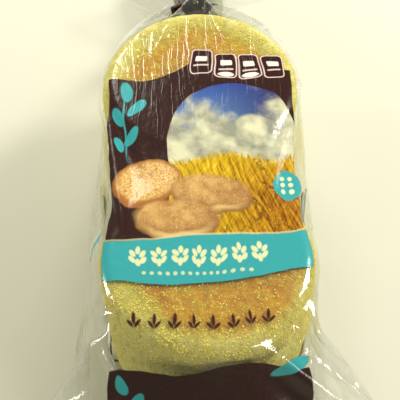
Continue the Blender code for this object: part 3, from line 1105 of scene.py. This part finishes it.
def scatter_on(points, triangles, weights, count):
    """Random places on a mesh, with the outward normal at each."""
    a, b, c = (points[triangles[:, k]] for k in range(3))
    normal = np.cross(b - a, c - a)
    area = np.linalg.norm(normal, axis=1)
    chance = area * weights
    picked = GRAIN_RANDOM.choice(len(triangles), count, p=chance / chance.sum())
    share = GRAIN_RANDOM.random((count, 2))
    flip = share.sum(1) > 1
    share[flip] = 1 - share[flip]
    places = a[picked] + share[:, :1] * (b - a)[picked] + share[:, 1:] * (c - a)[picked]
    return places, normal[picked] / np.maximum(area[picked], 1e-9)[:, None]


def small_bits(places, normals):
    """Small uneven eight-sided grains, half sunk into the surface at each place."""
    count = len(places)
    size = GRAIN_LEAST + (GRAIN_MOST - GRAIN_LEAST) * GRAIN_RANDOM.random(count)[:, None, None] ** 1.5
    helper = GRAIN_RANDOM.normal(size=(count, 3))
    side = np.cross(normals, helper)
    side /= np.linalg.norm(side, axis=1, keepdims=True)
    other = np.cross(normals, side)
    axes = np.stack([side, other, normals * GRAIN_FLATNESS], 1)
    corners = np.array([(1, 0, 0), (0, 1, 0), (-1, 0, 0), (0, -1, 0), (0, 0, 1), (0, 0, -1)], float)
    shape = corners[None] * GRAIN_RANDOM.uniform(0.65, 1.2, (count, 6, 1))
    bits = places[:, None] + size / 2 * np.einsum("nck,nkd->ncd", shape, axes)
    sides = np.array([(k, (k + 1) % 4, 4) for k in range(4)] + [((k + 1) % 4, k, 5) for k in range(4)])
    faces = (np.arange(count)[:, None, None] * 6 + sides[None]).reshape(-1, 3)
    return bits.reshape(-1, 3), faces


def make_cornmeal(made, material):
    """Cornmeal over the griddled faces, and less of it on the sides."""
    places = []
    normals = []
    for muffin, points, triangles, toast in made:
        centres = points[triangles].mean(1)
        level = centres[:, 2] - muffin["z"]
        on_top = level > MUFFIN_HEIGHT / 2 - 2.5
        weights = np.where(on_top, 1.0 if muffin["shown"] else 0.0, GRAINS_ASIDE)
        weights *= 1 - 0.75 * toast[triangles].mean(1)
        weights *= np.clip(0.6 + 1.5 * wobble(centres, 5, 7), 0.1, 2)
        weights = np.where(level < -MUFFIN_HEIGHT / 2 + 1.5, 0.0, weights)
        count = GRAINS_SHOWN if muffin["shown"] else GRAINS_HIDDEN
        spots, ways = scatter_on(points, triangles, weights, count)
        places.append(spots)
        normals.append(ways)
    bits, faces = small_bits(np.concatenate(places), np.concatenate(normals))
    add_piece("cornmeal_grains", bits, faces, material, smooth=False)


# ---- stage

def make_floor():
    """A plain pale floor."""
    n = Nodes("floor_paint")
    place = n.add("TexCoord").outputs["Object"]
    colour = n.mix(n.noise(place, 3, 2), srgb(196, 195, 180), srgb(204, 203, 190))
    mesh = bpy.data.meshes.new("floor")
    corners = [(x * FLOOR_HALF, y * FLOOR_HALF, 0) for x, y in ((-1, -1), (1, -1), (1, 1), (-1, 1))]
    mesh.from_pydata(corners, [], [(0, 1, 2, 3)])
    mesh.materials.append(n.finished(n.principled(colour, 0.6)))
    floor = add_object("floor", mesh)


def aim(thing, place, target):
    """Places an object and turns its -Z towards a target."""
    thing.location = place
    thing.rotation_euler = (Vector(target) - Vector(place)).to_track_quat("-Z", "Y").to_euler()


def add_lights():
    """Square area lights aimed at the pack. One that doesn't shine isn't mirrored in the film."""
    for name, (place, size, power, shines) in LIGHTS.items():
        data = bpy.data.lights.new(name, "AREA")
        data.size = size
        data.energy = power
        data.color = LIGHT_COLOUR
        light = add_object(name, data)
        light.visible_glossy = shines
        aim(light, place, (0, SHIFT_Y * MM, LIGHTS_AIM))


def make_stage():
    """Floor, soft studio lights and the camera at the photograph's angle."""
    make_floor()
    add_lights()
    world = bpy.data.worlds.new("studio")
    world.use_nodes = True
    background = world.node_tree.nodes["Background"]
    background.inputs["Color"].default_value = AIR_COLOUR
    background.inputs["Strength"].default_value = AIR_STRENGTH
    bpy.context.scene.world = world

    turn = math.radians(CAMERA_TURN)
    rise = math.radians(CAMERA_RISE)
    target = Vector((CAMERA_AIM_X, (SHIFT_Y + CAMERA_AIM_Y) * MM, STACK_TOP * MM))
    back = Vector((math.sin(turn) * math.cos(rise), -math.cos(turn) * math.cos(rise), math.sin(rise)))
    data = bpy.data.cameras.new("camera")
    data.sensor_width = CAMERA_SENSOR
    data.lens = CAMERA_LENS
    camera = add_object("camera", data)
    aim(camera, target + back * CAMERA_DISTANCE, target)
    bpy.context.scene.camera = camera
    bpy.context.scene.view_settings.view_transform = "Standard"


# ---- the whole pack

def print_middle(film):
    """How far along the film its top column passes between the stacks, where the print's y is 0."""
    top_column = film[1, film.shape[1] // 2]
    along = np.linspace(0, FILM_LENGTH, film.shape[2])
    body = along < BODY_LENGTH
    return float(np.interp(0.0, top_column[body], along[body]))


def main():
    """The stage, the muffins with their cornmeal, the film round them and the clip's plastic."""
    make_stage()
    muffins = stack_muffins()
    crust = crust_material()
    made = [(muffin, *make_muffin(number, muffin, crust)) for number, muffin in enumerate(muffins)]
    make_cornmeal(made, grain_material())
    film = simulate_film(muffins)
    make_film(film, film_material(print_middle(film)))

    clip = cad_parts["closure_clip"]
    for slot in clip.material_slots:
        slot.material = clip_material()


main()
